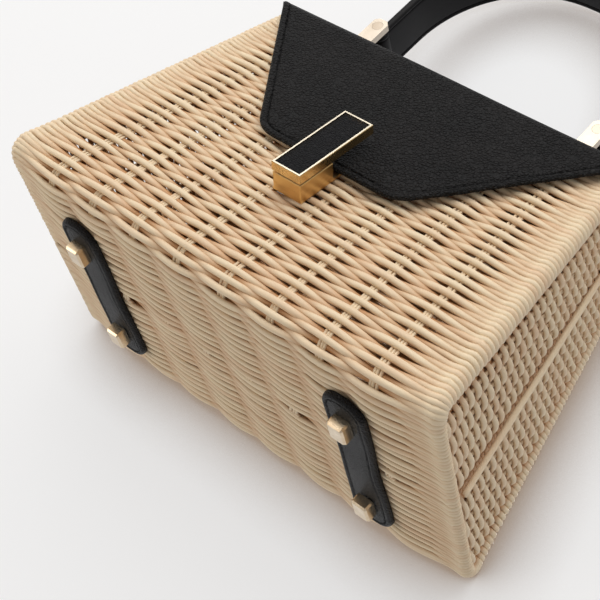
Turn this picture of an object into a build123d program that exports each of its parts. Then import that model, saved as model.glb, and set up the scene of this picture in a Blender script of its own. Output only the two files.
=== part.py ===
from build123d import *
from math import atan2, cos, sin
import os

# Wicker box bag with a leather flap, a turning bar clasp, a top handle and studded base straps.
# +X is the bag's right seen from the front, the front faces -Y, +Z is up and the feet stand on z = 0.
# The front panel is drawn in its own leaning plane: across, up the panel and out of it.

# Driving sizes of the woven body
BASE_W = 280.0
TOP_W = 225.0
BASE_D = 162.0
TOP_D = 84.0
BODY_H = 180.0
WALL = 5.0
EDGE_R = 13.0
RIM_H = 6.0
RIM_R = 3.2

# Side rods that cover the joint of the two halves
ROD_R = 1.7
ROD_RUN = 0.15
ROD_END = 17.0

# Leather flap
LEATHER_T = 2.2
LINING_T = 0.8
FLAP_STAND_OFF = 1.8
FLAP_TIP_GAP = 2.5
FLAP_TIP_W = 88.0
FLAP_TIP_R = 20.0
FLAP_OVERHANG = 2.0
LINING_INSET = 1.5
BACK_TAB = 34.0

# Bar clasp
CLASP_W = 18.0
CLASP_BAR_L = 51.5
CLASP_BAR_T = 5.6
CLASP_STAND = 16.5
CLASP_BLOCK_L = 23.0
CLASP_GAP = 0.4
CLASP_FOOT = 65.5
CLASP_BEVEL = 0.5
BASE_PLATE_T = 1.4
BASE_PLATE_L = 38.0
INNER_PLATE_T = 1.2
INNER_PLATE_MARGIN = 4.0
RIM_LINE = 1.1
INLAY_T = 1.0
INLAY_SINK = 0.25
PIVOT_R = 2.5
PIVOT_RUN = 0.05
PIVOT_FLOOR = 1.0
PIVOT_END_GAP = 0.3
CLASP_SCREW_R = 1.4
CLASP_SCREW_HEAD_R = 2.8
CLASP_SCREW_HEAD_T = 1.4
CLASP_SCREW_MARGIN = 3.0
CLASP_SCREW_DEPTH = 4.0

# Handle and its links
HANDLE_Y = -5.0
HANDLE_SPAN = 146.0
HANDLE_RISE = 99.0
HANDLE_ARC_R = 70.0
BAND_T = 5.0
BAND_END_W = 30.0
BAND_MID_W = 24.0
BAND_WAIST = 0.45
BAND_TAPER = 0.02
PIN_Z = 24.5
PIN_R = 2.5
LOOP_WALL = 2.8
PIN_HEAD_R = 3.1
PIN_HEAD_T = 0.9
PIN_HEAD_RUN = 0.1
LINK_W = 9.6
LINK_T = 4.0
LINK_TOP = 5.4
LINK_CHAMFER = 2.2
LINK_BASE_T = 2.4
LINK_GAP = 0.7
LINK_SCREW_R = 1.5
LINK_SCREW_PITCH = 18.0
LINK_PLATE_T = 1.5
LINK_PLATE_MARGIN = 1.0
SCREW_HEAD_R = 2.9
SCREW_HEAD_T = 1.6

# Base straps and feet
STRAP_L = 109.0
STRAP_W = 25.0
STRAP_T = 3.5
STRAP_END_R = 11.0
STRAP_EDGE_R = 1.3
STRAP_X = 88.0
FOOT_Y = 35.5
FOOT_LX = 9.6
FOOT_LY = 12.5
FOOT_H = 6.0
FOOT_CHAMFER = 1.0
FOOT_SCREW_R = 1.5
FOOT_SCREW_DEPTH = 3.0
WASHER_R = 6.0
WASHER_T = 0.8

# Levels and lean angles worked out from the sizes above
BODY_Z = FOOT_H + STRAP_T
LEAN = atan2((BASE_D - TOP_D) / 2, BODY_H)
SIDE_LEAN = atan2((BASE_W - TOP_W) / 2, BODY_H)
RIM_Z = BODY_Z + BODY_H
LID_Z = RIM_Z + LINING_T + LEATHER_T
SLANT = BODY_H / cos(LEAN)
BAR_BOTTOM = CLASP_STAND - CLASP_BAR_T
BLOCK_TOP = BAR_BOTTOM - CLASP_GAP
PIVOT_UP = CLASP_FOOT + CLASP_BLOCK_L / 2
FLAP_TIP_UP = CLASP_FOOT + CLASP_BLOCK_L + FLAP_TIP_GAP
HANDLE_PIN_Z = LID_Z + PIN_Z
CHEEK_IN = BAND_END_W / 2 + LINK_GAP
CHEEK_OUT = CHEEK_IN + LINK_T
BIG = 400.0

FRONT = Plane(
    origin=(0, -BASE_D / 2, BODY_Z),
    x_dir=(1, 0, 0),
    z_dir=(0, -cos(LEAN), sin(LEAN)),
)


def panel_y(level):
    """Distance of the outer front or back face from the middle at a height above the body's base."""
    return BASE_D / 2 - (BASE_D - TOP_D) / 2 * level / BODY_H


def side_x(level):
    """Distance of the outer side face from the middle at a height above the body's base."""
    return BASE_W / 2 - (BASE_W - TOP_W) / 2 * level / BODY_H


def tapered_prism(plane, reach, inset):
    """A long prism whose two sides follow reach, pulled in by inset, running on past the rim."""
    low = EDGE_R
    high = BODY_H + 2 * EDGE_R
    outline = Polygon(
        (inset - reach(low), BODY_Z + low),
        (reach(low) - inset, BODY_Z + low),
        (reach(high) - inset, BODY_Z + high),
        (inset - reach(high), BODY_Z + high),
        align=None,
    )
    return extrude(plane * outline, BIG, both=True)


def rounded_body(skin):
    """The tapered body pulled in by skin all over, with rounded edges."""
    core = tapered_prism(Plane.XZ, side_x, EDGE_R / cos(SIDE_LEAN))
    core &= tapered_prism(Plane.YZ, panel_y, EDGE_R / cos(LEAN))
    return offset(core, EDGE_R - skin, kind=Kind.ARC)


def slab(low, high):
    """A wide block between two heights."""
    return Pos(0, 0, (low + high) / 2) * Box(BIG, BIG, high - low)


def wall_shell():
    """The woven wall as one closed skin with an open top."""
    return rounded_body(0) - rounded_body(WALL)


def side_rod(side, radius=ROD_R):
    """The straight rod over the joint in one side wall."""
    start = Vector(side * side_x(ROD_END), 0, BODY_Z + ROD_END)
    end_level = BODY_H - RIM_H
    end = Vector(side * side_x(end_level), 0, BODY_Z + end_level)
    along = end - start
    return Plane(origin=start, z_dir=along) * extrude(Circle(radius), along.length)


def basket_half(front):
    """One of the two woven halves that meet at the middle of the depth."""
    sign = -1 if front else 1
    half = Pos(0, sign * BIG / 2, 0) * Box(BIG, BIG, 2 * BIG)
    body = wall_shell() & slab(0, RIM_Z - RIM_H) & half
    for side in (-1, 1):
        body -= side_rod(side, ROD_R + ROD_RUN)
        for end in (-1, 1):
            hole = Cylinder(FOOT_SCREW_R, 4 * WALL)
            body -= Pos(side * STRAP_X, end * FOOT_Y, BODY_Z) * hole
    if front:
        for place in clasp_screw_places():
            body -= FRONT * Pos(place[0], place[1], 0) * Cylinder(CLASP_SCREW_R, 4 * WALL)
    return body


def rim_hoop():
    """The bound hoop that finishes the top edge, rounded where the flap folds over it."""
    hoop = wall_shell() & slab(RIM_Z - RIM_H, RIM_Z)
    outer_edge = hoop.faces().sort_by(Axis.Z)[-1].outer_wire().edges()
    return fillet(outer_edge, RIM_R)


def side_prism(stand_off, top, corner_r):
    """A full-width prism that follows the front, the top and the back at a distance from the walls."""
    low = FLAP_TIP_UP / 2
    out = stand_off / cos(LEAN)
    rise = top - BODY_Z
    outline = Polygon(
        (-panel_y(low) - out, BODY_Z + low),
        (-panel_y(rise) - out, top),
        (panel_y(rise) + out, top),
        (panel_y(low) + out, BODY_Z + low),
        align=None,
    )
    folds = outline.vertices().sort_by(Axis.Y)[-2:]
    outline = fillet(folds, corner_r)
    width = TOP_W + 2 * FLAP_OVERHANG
    return extrude(Plane.YZ * outline, width / 2, both=True)


def flap_outline(inset):
    """The front of the flap flattened out: a trapezoid with two round lower corners."""
    half_top = TOP_W / 2 + FLAP_OVERHANG - inset
    half_tip = FLAP_TIP_W / 2 - inset
    tip = FLAP_TIP_UP + inset
    outline = Polygon(
        (-half_tip, tip), (half_tip, tip), (half_top, SLANT), (-half_top, SLANT), align=None
    )
    lower = outline.vertices().sort_by(Axis.Y)[:2]
    return fillet(lower, FLAP_TIP_R - inset)


def folded_sheet(inner, thickness, bottom, inset):
    """One layer of the flap: back tab, top and pointed front in a single folded sheet."""
    top = bottom + thickness
    sheet = side_prism(inner + thickness, top, RIM_R + inner + thickness)
    sheet -= side_prism(inner, bottom, RIM_R + inner)
    waste = Rectangle(BIG, 2 * SLANT) - flap_outline(inset)
    sheet -= extrude(FRONT * waste, 2 * CLASP_STAND, both=True)
    tab_level = BODY_H - BACK_TAB + inset
    below_tab = Box(BIG, BIG, BIG, align=(Align.CENTER, Align.MIN, Align.MAX))
    sheet -= Pos(0, 0, BODY_Z + tab_level) * below_tab
    trim = TOP_W + 2 * (FLAP_OVERHANG - inset)
    sheet &= Box(trim, BIG, 2 * BIG)
    for side in (-1, 1):
        for place in link_screw_places(side):
            sheet -= Pos(place[0], place[1], LID_Z) * Cylinder(LINK_SCREW_R, 4 * LEATHER_T)
    return sheet


def lid_lining():
    """The thin lining under the leather, which rests on the rim."""
    return folded_sheet(FLAP_STAND_OFF, LINING_T, RIM_Z, LINING_INSET)


def lid_leather():
    """The outer leather of the flap."""
    return folded_sheet(FLAP_STAND_OFF + LINING_T, LEATHER_T, RIM_Z + LINING_T, 0)


def on_front(x, up, out):
    """A place on the front panel: across, up the slope and out of it."""
    return FRONT * Pos(x, up, out)


def front_block(width, length, low, high, foot):
    """A rectangular block on the front panel, standing on its lower edge."""
    box = Box(width, length, high - low, align=(Align.CENTER, Align.MIN, Align.MIN))
    return on_front(0, foot, low) * box


def clasp_screw_places():
    """Where the two clasp screws pass the woven front, across and up."""
    reach = CLASP_BLOCK_L / 2 - CLASP_SCREW_MARGIN
    return [(0, PIVOT_UP - reach), (0, PIVOT_UP + reach)]


def clasp_base_plate():
    """The flat plate under the block, which runs on beneath the flap's edge."""
    plate = front_block(CLASP_W, BASE_PLATE_L, 0, BASE_PLATE_T, CLASP_FOOT)
    for place in clasp_screw_places():
        plate -= on_front(place[0], place[1], 0) * Cylinder(CLASP_SCREW_R, 4 * BASE_PLATE_T)
    return plate


def clasp_block():
    """The solid block that holds the bar off the basket."""
    block = Box(
        CLASP_W,
        CLASP_BLOCK_L,
        BLOCK_TOP - BASE_PLATE_T,
        align=(Align.CENTER, Align.MIN, Align.MIN),
    )
    block = chamfer(block.edges().filter_by(Axis.Z), CLASP_BEVEL)
    block = chamfer(block.edges().group_by(Axis.Z)[-1], CLASP_BEVEL / 2)
    block = on_front(0, CLASP_FOOT, BASE_PLATE_T) * block
    bore = Cylinder(PIVOT_R + PIVOT_RUN, BIG / 4, align=(Align.CENTER, Align.CENTER, Align.MIN))
    block -= on_front(0, PIVOT_UP, BASE_PLATE_T + PIVOT_FLOOR) * bore
    for place in clasp_screw_places():
        hole = Cylinder(CLASP_SCREW_R, 2 * CLASP_SCREW_DEPTH)
        block -= on_front(place[0], place[1], BASE_PLATE_T) * hole
    return block


def clasp_inner_plate():
    """The backing plate inside the basket."""
    inner = -WALL
    width = CLASP_W + INNER_PLATE_MARGIN
    length = CLASP_BLOCK_L + INNER_PLATE_MARGIN
    foot = CLASP_FOOT - INNER_PLATE_MARGIN / 2
    plate = front_block(width, length, inner - INNER_PLATE_T, inner, foot)
    for place in clasp_screw_places():
        plate -= on_front(place[0], place[1], inner) * Cylinder(CLASP_SCREW_R, 4 * INNER_PLATE_T)
    return plate


def clasp_screw(place):
    """A screw from inside the basket through both plates into the block."""
    head_face = -WALL - INNER_PLATE_T
    length = BASE_PLATE_T + CLASP_SCREW_DEPTH - head_face
    up = (Align.CENTER, Align.CENTER, Align.MIN)
    down = (Align.CENTER, Align.CENTER, Align.MAX)
    shank = on_front(place[0], place[1], head_face) * Cylinder(CLASP_SCREW_R, length, align=up)
    head = Cylinder(CLASP_SCREW_HEAD_R, CLASP_SCREW_HEAD_T, align=down)
    return shank + on_front(place[0], place[1], head_face) * head


def inlay_size():
    """Width and length of the recess in the bar's face."""
    return CLASP_W - 2 * RIM_LINE, CLASP_BAR_L - 2 * RIM_LINE


def clasp_bar():
    """The turning bar, a flat frame with a recess for its leather."""
    bar = Box(CLASP_W, CLASP_BAR_L, CLASP_BAR_T, align=(Align.CENTER, Align.MIN, Align.MIN))
    bar = chamfer(bar.edges().group_by(Axis.Z)[0], CLASP_BEVEL)
    bar = chamfer(bar.edges().group_by(Axis.Z)[-1], CLASP_BEVEL / 2)
    width, length = inlay_size()
    depth = INLAY_T + INLAY_SINK
    recess = Box(width, length, depth, align=(Align.CENTER, Align.MIN, Align.MAX))
    bar -= Pos(0, RIM_LINE, CLASP_BAR_T) * recess
    bar = on_front(0, CLASP_FOOT, BAR_BOTTOM) * bar
    bar -= on_front(0, PIVOT_UP, BAR_BOTTOM) * Cylinder(PIVOT_R, CLASP_BAR_T)
    return bar


def clasp_inlay():
    """The strip of grained leather let into the bar."""
    width, length = inlay_size()
    low = CLASP_STAND - INLAY_SINK - INLAY_T
    return front_block(width, length, low, low + INLAY_T, CLASP_FOOT + RIM_LINE)


def clasp_pivot():
    """The round pivot fixed in the bar, which turns in the block's bore."""
    low = BASE_PLATE_T + PIVOT_FLOOR + PIVOT_END_GAP
    high = BAR_BOTTOM + CLASP_BAR_T / 2
    shaft = Cylinder(PIVOT_R, high - low, align=(Align.CENTER, Align.CENTER, Align.MIN))
    return on_front(0, PIVOT_UP, low) * shaft


def arch_profile(grow):
    """The handle's arch seen from the front, grown or shrunk from its middle line."""
    half = HANDLE_SPAN / 2 + grow
    top = HANDLE_RISE + grow
    shape = Pos(0, top / 2) * Rectangle(2 * half, top)
    corners = shape.vertices().sort_by(Axis.Y)[-2:]
    return fillet(corners, HANDLE_ARC_R + grow)


def band_plan():
    """The band seen from above: widest at its ends, narrower in the hand."""
    reach = HANDLE_SPAN / 2 + BAND_T
    middle = reach * BAND_WAIST
    upper = Spline(
        (-reach, BAND_END_W / 2),
        (-middle, BAND_MID_W / 2),
        (middle, BAND_MID_W / 2),
        (reach, BAND_END_W / 2),
        tangents=[(1, -BAND_TAPER), (1, BAND_TAPER)],
    )
    lower = mirror(upper, about=Plane.XZ)
    ends = [Line(upper @ 0, lower @ 0), Line(upper @ 1, lower @ 1)]
    return make_face([upper, lower] + ends)


def handle_place(side=0):
    """The level of the link pins, in the middle of the handle or on one side."""
    return Pos(side * HANDLE_SPAN / 2, HANDLE_Y, HANDLE_PIN_Z)


def handle_band():
    """The stiff leather band with a loop at each end."""
    ring = arch_profile(BAND_T / 2) - arch_profile(-BAND_T / 2)
    arch = extrude(Plane.XZ * ring, BAND_END_W, both=True)
    arch &= extrude(band_plan(), 2 * HANDLE_RISE)
    band = handle_place() * arch
    for side in (-1, 1):
        loop = Cylinder(PIN_R + LOOP_WALL, BAND_END_W, rotation=(90, 0, 0))
        band += handle_place(side) * loop
    for side in (-1, 1):
        band -= handle_place(side) * Cylinder(PIN_R, BIG, rotation=(90, 0, 0))
    return band


def link_cheek_profile():
    """One cheek of a link seen from the front, with two cut corners at its top."""
    height = PIN_Z + LINK_TOP
    shape = Pos(0, height / 2) * Rectangle(LINK_W, height)
    corners = shape.vertices().sort_by(Axis.Y)[-2:]
    return chamfer(corners, LINK_CHAMFER)


def link_screw_places(side):
    """Where the screws of one link pass the lid."""
    x = side * HANDLE_SPAN / 2
    return [(x, HANDLE_Y + end * LINK_SCREW_PITCH / 2) for end in (-1, 1)]


def handle_link(side):
    """A forked metal link: a base on the lid and a cheek each side of the band's loop."""
    centre = Pos(side * HANDLE_SPAN / 2, HANDLE_Y, LID_Z)
    base = Box(LINK_W, 2 * CHEEK_OUT, LINK_BASE_T, align=(Align.CENTER, Align.CENTER, Align.MIN))
    link = centre * base
    for end in (-1, 1):
        middle = end * (CHEEK_IN + LINK_T / 2)
        cheek = extrude(Plane.XZ * link_cheek_profile(), LINK_T / 2, both=True)
        link += centre * Pos(0, middle, 0) * cheek
    link -= handle_place(side) * Cylinder(PIN_R, BIG, rotation=(90, 0, 0))
    for end in (-1, 1):
        sink = Cylinder(PIN_HEAD_R + PIN_HEAD_RUN, 2 * PIN_HEAD_T, rotation=(90, 0, 0))
        link -= handle_place(side) * Pos(0, end * CHEEK_OUT, 0) * sink
    for place in link_screw_places(side):
        link -= Pos(place[0], place[1], LID_Z) * Cylinder(LINK_SCREW_R, 4 * LINK_BASE_T)
    return link


def handle_pin(side):
    """The pin through a link and the band's loop, with a flush head at each end."""
    pin = Cylinder(PIN_R, 2 * (CHEEK_OUT - PIN_HEAD_T), rotation=(90, 0, 0))
    for end in (-1, 1):
        head = Cylinder(PIN_HEAD_R, PIN_HEAD_T, rotation=(90, 0, 0))
        pin += Pos(0, end * (CHEEK_OUT - PIN_HEAD_T / 2), 0) * head
    return handle_place(side) * pin


def link_plate(side):
    """The backing plate under the lid that the link is screwed to."""
    plate = Box(
        LINK_W + 2 * LINK_PLATE_MARGIN,
        2 * CHEEK_OUT,
        LINK_PLATE_T,
        align=(Align.CENTER, Align.CENTER, Align.MAX),
    )
    plate = Pos(side * HANDLE_SPAN / 2, HANDLE_Y, RIM_Z) * plate
    for place in link_screw_places(side):
        plate -= Pos(place[0], place[1], RIM_Z) * Cylinder(LINK_SCREW_R, 4 * LINK_PLATE_T)
    return plate


def link_screws(side):
    """The two screws of one link, driven up from under the lid."""
    head_z = RIM_Z - LINK_PLATE_T
    length = LID_Z + LINK_BASE_T - head_z
    screws = Part()
    for place in link_screw_places(side):
        shank = Cylinder(LINK_SCREW_R, length, align=(Align.CENTER, Align.CENTER, Align.MIN))
        head = Cylinder(SCREW_HEAD_R, SCREW_HEAD_T, align=(Align.CENTER, Align.CENTER, Align.MAX))
        screws += Pos(place[0], place[1], head_z) * (shank + head)
    return screws


def base_strap(side):
    """A padded leather strap across the bottom, over the joint of the two halves."""
    outline = RectangleRounded(STRAP_W, STRAP_L, STRAP_END_R)
    strap = extrude(outline, -STRAP_T)
    strap = fillet(strap.edges().group_by(Axis.Z)[0], STRAP_EDGE_R)
    strap = Pos(side * STRAP_X, 0, BODY_Z) * strap
    for end in (-1, 1):
        strap -= Pos(side * STRAP_X, end * FOOT_Y, BODY_Z) * Cylinder(FOOT_SCREW_R, 4 * STRAP_T)
    return strap


def foot(side, end):
    """A faceted metal stud under the strap."""
    stud = Box(FOOT_LX, FOOT_LY, FOOT_H, align=(Align.CENTER, Align.CENTER, Align.MIN))
    stud = chamfer(stud.edges().filter_by(Axis.Z), FOOT_CHAMFER)
    stud = chamfer(stud.edges().group_by(Axis.Z)[0], FOOT_CHAMFER)
    stud = Pos(side * STRAP_X, end * FOOT_Y, 0) * stud
    hole = Cylinder(FOOT_SCREW_R, FOOT_SCREW_DEPTH, align=(Align.CENTER, Align.CENTER, Align.MAX))
    return stud - Pos(side * STRAP_X, end * FOOT_Y, FOOT_H) * hole


def foot_screw(side, end):
    """The screw that holds a foot, driven down from inside the basket."""
    low = FOOT_H - FOOT_SCREW_DEPTH
    high = BODY_Z + WALL + WASHER_T
    shank = Cylinder(FOOT_SCREW_R, high - low, align=(Align.CENTER, Align.CENTER, Align.MIN))
    head = Cylinder(SCREW_HEAD_R, SCREW_HEAD_T, align=(Align.CENTER, Align.CENTER, Align.MIN))
    screw = Pos(0, 0, low) * shank + Pos(0, 0, high) * head
    return Pos(side * STRAP_X, end * FOOT_Y, 0) * screw


def foot_washer(side, end):
    """The washer that spreads a foot screw's pull over the weave."""
    ring = Cylinder(WASHER_R, WASHER_T, align=(Align.CENTER, Align.CENTER, Align.MIN))
    ring -= Cylinder(FOOT_SCREW_R, 4 * WASHER_T)
    return Pos(side * STRAP_X, end * FOOT_Y, BODY_Z + WALL) * ring


def build():
    """Every sub-part by the name of its node."""
    parts = {
        "basket_front": basket_half(True),
        "basket_back": basket_half(False),
        "rim_hoop": rim_hoop(),
        "lid_leather": lid_leather(),
        "lid_lining": lid_lining(),
        "clasp_base_plate": clasp_base_plate(),
        "clasp_block": clasp_block(),
        "clasp_inner_plate": clasp_inner_plate(),
        "clasp_bar": clasp_bar(),
        "clasp_inlay": clasp_inlay(),
        "clasp_pivot": clasp_pivot(),
        "handle_band": handle_band(),
    }
    for name, place in zip(("lower", "upper"), clasp_screw_places()):
        parts[f"clasp_screw_{name}"] = clasp_screw(place)
    for name, side in (("left", -1), ("right", 1)):
        parts[f"side_rod_{name}"] = side_rod(side)
        parts[f"handle_link_{name}"] = handle_link(side)
        parts[f"handle_pin_{name}"] = handle_pin(side)
        parts[f"link_plate_{name}"] = link_plate(side)
        parts[f"link_screws_{name}"] = link_screws(side)
        parts[f"base_strap_{name}"] = base_strap(side)
        for place, end in (("front", -1), ("back", 1)):
            parts[f"foot_{place}_{name}"] = foot(side, end)
            parts[f"foot_screw_{place}_{name}"] = foot_screw(side, end)
            parts[f"foot_washer_{place}_{name}"] = foot_washer(side, end)
    return parts


def centred(parts):
    """All parts moved together along Y so that the whole box is centred on the origin."""
    boxes = [part.bounding_box() for part in parts.values()]
    middle = (min(box.min.Y for box in boxes) + max(box.max.Y for box in boxes)) / 2
    return {name: Pos(0, -middle, 0) * part for name, part in parts.items()}


if __name__ == "__main__":
    os.makedirs("parts", exist_ok=True)
    for node, part in centred(build()).items():
        export_step(part, f"parts/{node}.step")
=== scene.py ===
import math

import bmesh
import bpy
import numpy as np
from mathutils import Matrix, Vector


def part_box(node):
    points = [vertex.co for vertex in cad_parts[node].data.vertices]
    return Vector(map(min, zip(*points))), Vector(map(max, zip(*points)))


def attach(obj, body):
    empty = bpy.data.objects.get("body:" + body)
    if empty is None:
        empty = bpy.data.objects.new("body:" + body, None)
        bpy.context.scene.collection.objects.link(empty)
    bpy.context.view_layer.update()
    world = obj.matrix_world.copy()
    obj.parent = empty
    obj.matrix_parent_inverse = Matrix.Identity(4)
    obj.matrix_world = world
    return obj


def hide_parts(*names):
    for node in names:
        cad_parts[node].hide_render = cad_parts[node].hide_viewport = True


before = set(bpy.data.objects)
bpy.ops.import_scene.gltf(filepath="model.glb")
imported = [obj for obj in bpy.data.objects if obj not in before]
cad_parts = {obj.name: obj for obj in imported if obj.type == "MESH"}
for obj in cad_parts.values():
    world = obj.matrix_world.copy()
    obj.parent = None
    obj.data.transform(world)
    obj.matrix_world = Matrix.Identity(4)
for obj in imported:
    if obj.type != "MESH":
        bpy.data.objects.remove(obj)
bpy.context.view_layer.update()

# The studio. The bag stands on its four feet, while its back rests against a pale sheet that
# serves as the floor when the bag is seen lying down. Both floors show only from their lit side.
scene = bpy.context.scene
scene.view_settings.view_transform = "Standard"
scene.view_settings.look = "None"

view_right = Vector((0.730, 0.182, 0.660))
view_ahead = Vector((-0.513, 0.784, 0.351)).normalized()
view_up = view_right.cross(view_ahead).normalized()
view_right = view_ahead.cross(view_up)
CAMERA_PLACE = (0.3684, -0.5569, -0.1887)
LENS_MM = 85.3
NEAREST_SEEN = 0.01
camera = bpy.data.objects.new("camera", bpy.data.cameras.new("camera"))
camera.data.lens = LENS_MM
camera.data.clip_start = NEAREST_SEEN
camera_rows = [(view_right[k], view_up[k], -view_ahead[k], CAMERA_PLACE[k]) for k in range(3)]
camera.matrix_world = Matrix((*camera_rows, (0, 0, 0, 1)))
scene.collection.objects.link(camera)
scene.camera = camera


class Wire:
    """An output of a material's nodes: arithmetic adds Math nodes, node() adds any other node."""

    def __init__(self, tree, socket=None):
        self.tree = tree
        self.socket = socket

    def node(self, kind, settings=None, inputs=None, output=0):
        made = self.tree.nodes.new(kind)
        for name, value in (settings or {}).items():
            setattr(made, name, value)
        sockets = {s.name: s for s in reversed(made.inputs)}
        sockets.update({s.identifier: s for s in made.inputs})
        for name, value in (inputs or {}).items():
            if isinstance(value, Wire):
                self.tree.links.new(value.socket, sockets[name])
            else:
                sockets[name].default_value = value
        return Wire(self.tree, made.outputs[output])

    def maths(self, operation, first, second=0.0, clamp=False):
        made = {"Value": first, "Value_001": second}
        return self.node("ShaderNodeMath", {"operation": operation, "use_clamp": clamp}, made)

    def __add__(self, other):
        return self.maths("ADD", self, other)

    def __sub__(self, other):
        return self.maths("SUBTRACT", self, other)

    def __rsub__(self, other):
        return self.maths("SUBTRACT", other, self)

    def __mul__(self, other):
        return self.maths("MULTIPLY", self, other)

    def __pow__(self, other):
        return self.maths("POWER", self, other)

    def clamped(self):
        return self.maths("ADD", self, 0.0, True)

    def blend(self, first, second):
        """The first colour where this value is 0, the second where it is 1."""
        mixed = {"Factor_Float": self, "A_Color": first, "B_Color": second}
        return self.node("ShaderNodeMix", {"data_type": "RGBA"}, mixed, 2)

    def noise(self, place, scale, detail=2.0, roughness=0.5):
        made = {"Vector": place, "Scale": scale, "Detail": detail, "Roughness": roughness}
        return self.node("ShaderNodeTexNoise", {}, made)

    def bump(self, height, strength, distance):
        made = {"Height": height, "Strength": strength, "Distance": distance}
        return self.node("ShaderNodeBump", {}, made)

    def on_piece(self):
        """The place on the piece, in metres from its origin."""
        return self.node("ShaderNodeTexCoord", {}, {}, 3)

    def carried(self, name, output):
        """A value that the mesh carries at its points."""
        return self.node("ShaderNodeAttribute", {"attribute_name": name}, {}, output)

    def scaled(self, scale):
        """This place with each axis scaled by itself."""
        made = {"Vector": self, "Vector_001": scale}
        return self.node("ShaderNodeVectorMath", {"operation": "MULTIPLY"}, made)

    def dot(self, direction):
        """How far this direction points along another."""
        made = {"Vector": self, "Vector_001": direction}
        return self.node("ShaderNodeVectorMath", {"operation": "DOT_PRODUCT"}, made, 1)


def finish(name, base, **values):
    """A material with its plain shader values set. Returns it with a Wire to build its nodes from."""
    material = bpy.data.materials.new(name)
    material.use_nodes = True
    shader = material.node_tree.nodes["Principled BSDF"]
    shader.inputs["Base Color"].default_value = (*base, 1)
    for key, value in values.items():
        shader.inputs[key.replace("_", " ").title().replace("Ior", "IOR")].default_value = value
    return material, Wire(material.node_tree), shader.inputs


def feed(wire, socket):
    wire.tree.links.new(wire.socket, socket)


SHEET_HALF = 3.0
SHEET_WHITE = (0.9, 0.9, 0.9, 1)
SHEET_SPECK = (0.8, 0.8, 0.8, 1)
SHEET_LIT_SHARE = 0.34
SHEET_OPEN = (0.915, 0.915, 0.92, 1)
# The brown of the painted contact shadow on the sheets, and how far from the bag it reaches.
SHEET_PAINTED_SHADOW = (0.24, 0.155, 0.10, 1)
PAINTED_SHADOW_REACH = 0.042


def one_sided(name, centre, across, along):
    """A floor sheet that the camera sees from its front only and that no other ray meets.
    Part of its tone is a plain glow, with a painted brown contact shadow where the bag stands close to it."""
    middle = Vector(centre)
    corners = []
    for x, y in ((-1, -1), (1, -1), (1, 1), (-1, 1)):
        corners.append(middle + Vector(across) * x * SHEET_HALF + Vector(along) * y * SHEET_HALF)
    mesh = bpy.data.meshes.new(name)
    mesh.from_pydata(corners, [], [(0, 1, 2, 3)])
    sheet = bpy.data.objects.new(name, mesh)
    scene.collection.objects.link(sheet)
    for ray in ("shadow", "diffuse", "glossy", "transmission"):
        setattr(sheet, f"visible_{ray}", False)
    material, start, _ = finish(name, SHEET_WHITE[:3])
    start.tree.nodes.remove(start.tree.nodes["Principled BSDF"])
    place = start.node("ShaderNodeNewGeometry", {}, {}, 0)
    back = start.node("ShaderNodeNewGeometry", {}, {}, 6)
    paint = (start.noise(place, 40.0) * 0.02).blend(SHEET_WHITE, SHEET_SPECK)
    lit = start.node("ShaderNodeBsdfDiffuse", {}, {"Color": paint})
    # Painted contact shadow: the glow turns brown where parts of the bag stand within a few centimetres of
    # the sheet.
    reach = {"Distance": PAINTED_SHADOW_REACH}
    open_share = start.node("ShaderNodeAmbientOcclusion", {"samples": 8}, reach, 1)
    outside_painted_shadow = ((open_share - 0.5) * 2.1).clamped() ** 0.8
    glow_with_painted_shadow = start.node("ShaderNodeEmission", {}, {"Color": outside_painted_shadow.blend(SHEET_PAINTED_SHADOW, SHEET_OPEN)})
    shares = {"Fac": SHEET_LIT_SHARE, "Shader": glow_with_painted_shadow, "Shader_001": lit}
    matt = start.node("ShaderNodeMixShader", {}, shares)
    clear = start.node("ShaderNodeBsdfTransparent")
    seen = start.node("ShaderNodeMixShader", {}, {"Fac": back, "Shader": matt, "Shader_001": clear})
    feed(seen, start.tree.nodes["Material Output"].inputs["Surface"])
    mesh.materials.append(material)


FRONT_LEAN = math.atan2(0.039, 0.180)
sin_lean = math.sin(FRONT_LEAN)
cos_lean = math.cos(FRONT_LEAN)
back_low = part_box("basket_back")
STRAP_AND_FOOT = 0.0095
up_the_back = (0, -sin_lean, cos_lean)
one_sided("floor_behind", (0, back_low[1].y + 0.0005, STRAP_AND_FOOT), (1, 0, 0), up_the_back)
one_sided("floor_below", (0, 0, 0), (1, 0, 0), (0, 1, 0))

scene.world = bpy.data.worlds.new("studio")
scene.world.use_nodes = True
sky_tree = scene.world.node_tree
sky = Wire(sky_tree)
SKY_BRIGHT_SIDE = (0.1, 0.95, 0.25)
SKY_DULL = (0.47, 0.465, 0.46, 1)
SKY_BRIGHT = (0.92, 0.92, 0.93, 1)
SKY_STRENGTH = 0.8
sky_side = sky.node("ShaderNodeTexCoord", {}, {}, 0).dot(SKY_BRIGHT_SIDE)
sky_colour = (sky_side * 0.9 + 0.45).clamped().blend(SKY_DULL, SKY_BRIGHT)
feed(sky_colour, sky_tree.nodes["Background"].inputs["Color"])
sky_tree.nodes["Background"].inputs["Strength"].default_value = SKY_STRENGTH


def softbox(name, place, aim, size, power, colour=(1, 1, 1)):
    lamp = bpy.data.lights.new(name, "AREA")
    lamp.shape = "DISK"
    lamp.size = size
    lamp.energy = power
    lamp.color = colour
    stand = bpy.data.objects.new(name, lamp)
    stand.location = place
    stand.rotation_euler = (Vector(aim) - Vector(place)).to_track_quat("-Z", "Y").to_euler()
    scene.collection.objects.link(stand)


softbox("key", (-0.08, -1.4, 0.95), (0, 0, 0.08), 1.7, 20.0, (1, 0.985, 0.96))
softbox("fill", (-0.9, -1.0, 0.5), (0, 0, 0.1), 1.0, 3.0)
softbox("below", (-0.9, -0.5, -0.9), (0, 0, 0.05), 0.9, 4.2, (1, 0.91, 0.80))
softbox("behind", (-0.5, 1.3, 0.7), (0, 0, 0.1), 1.0, 12.0)


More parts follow.
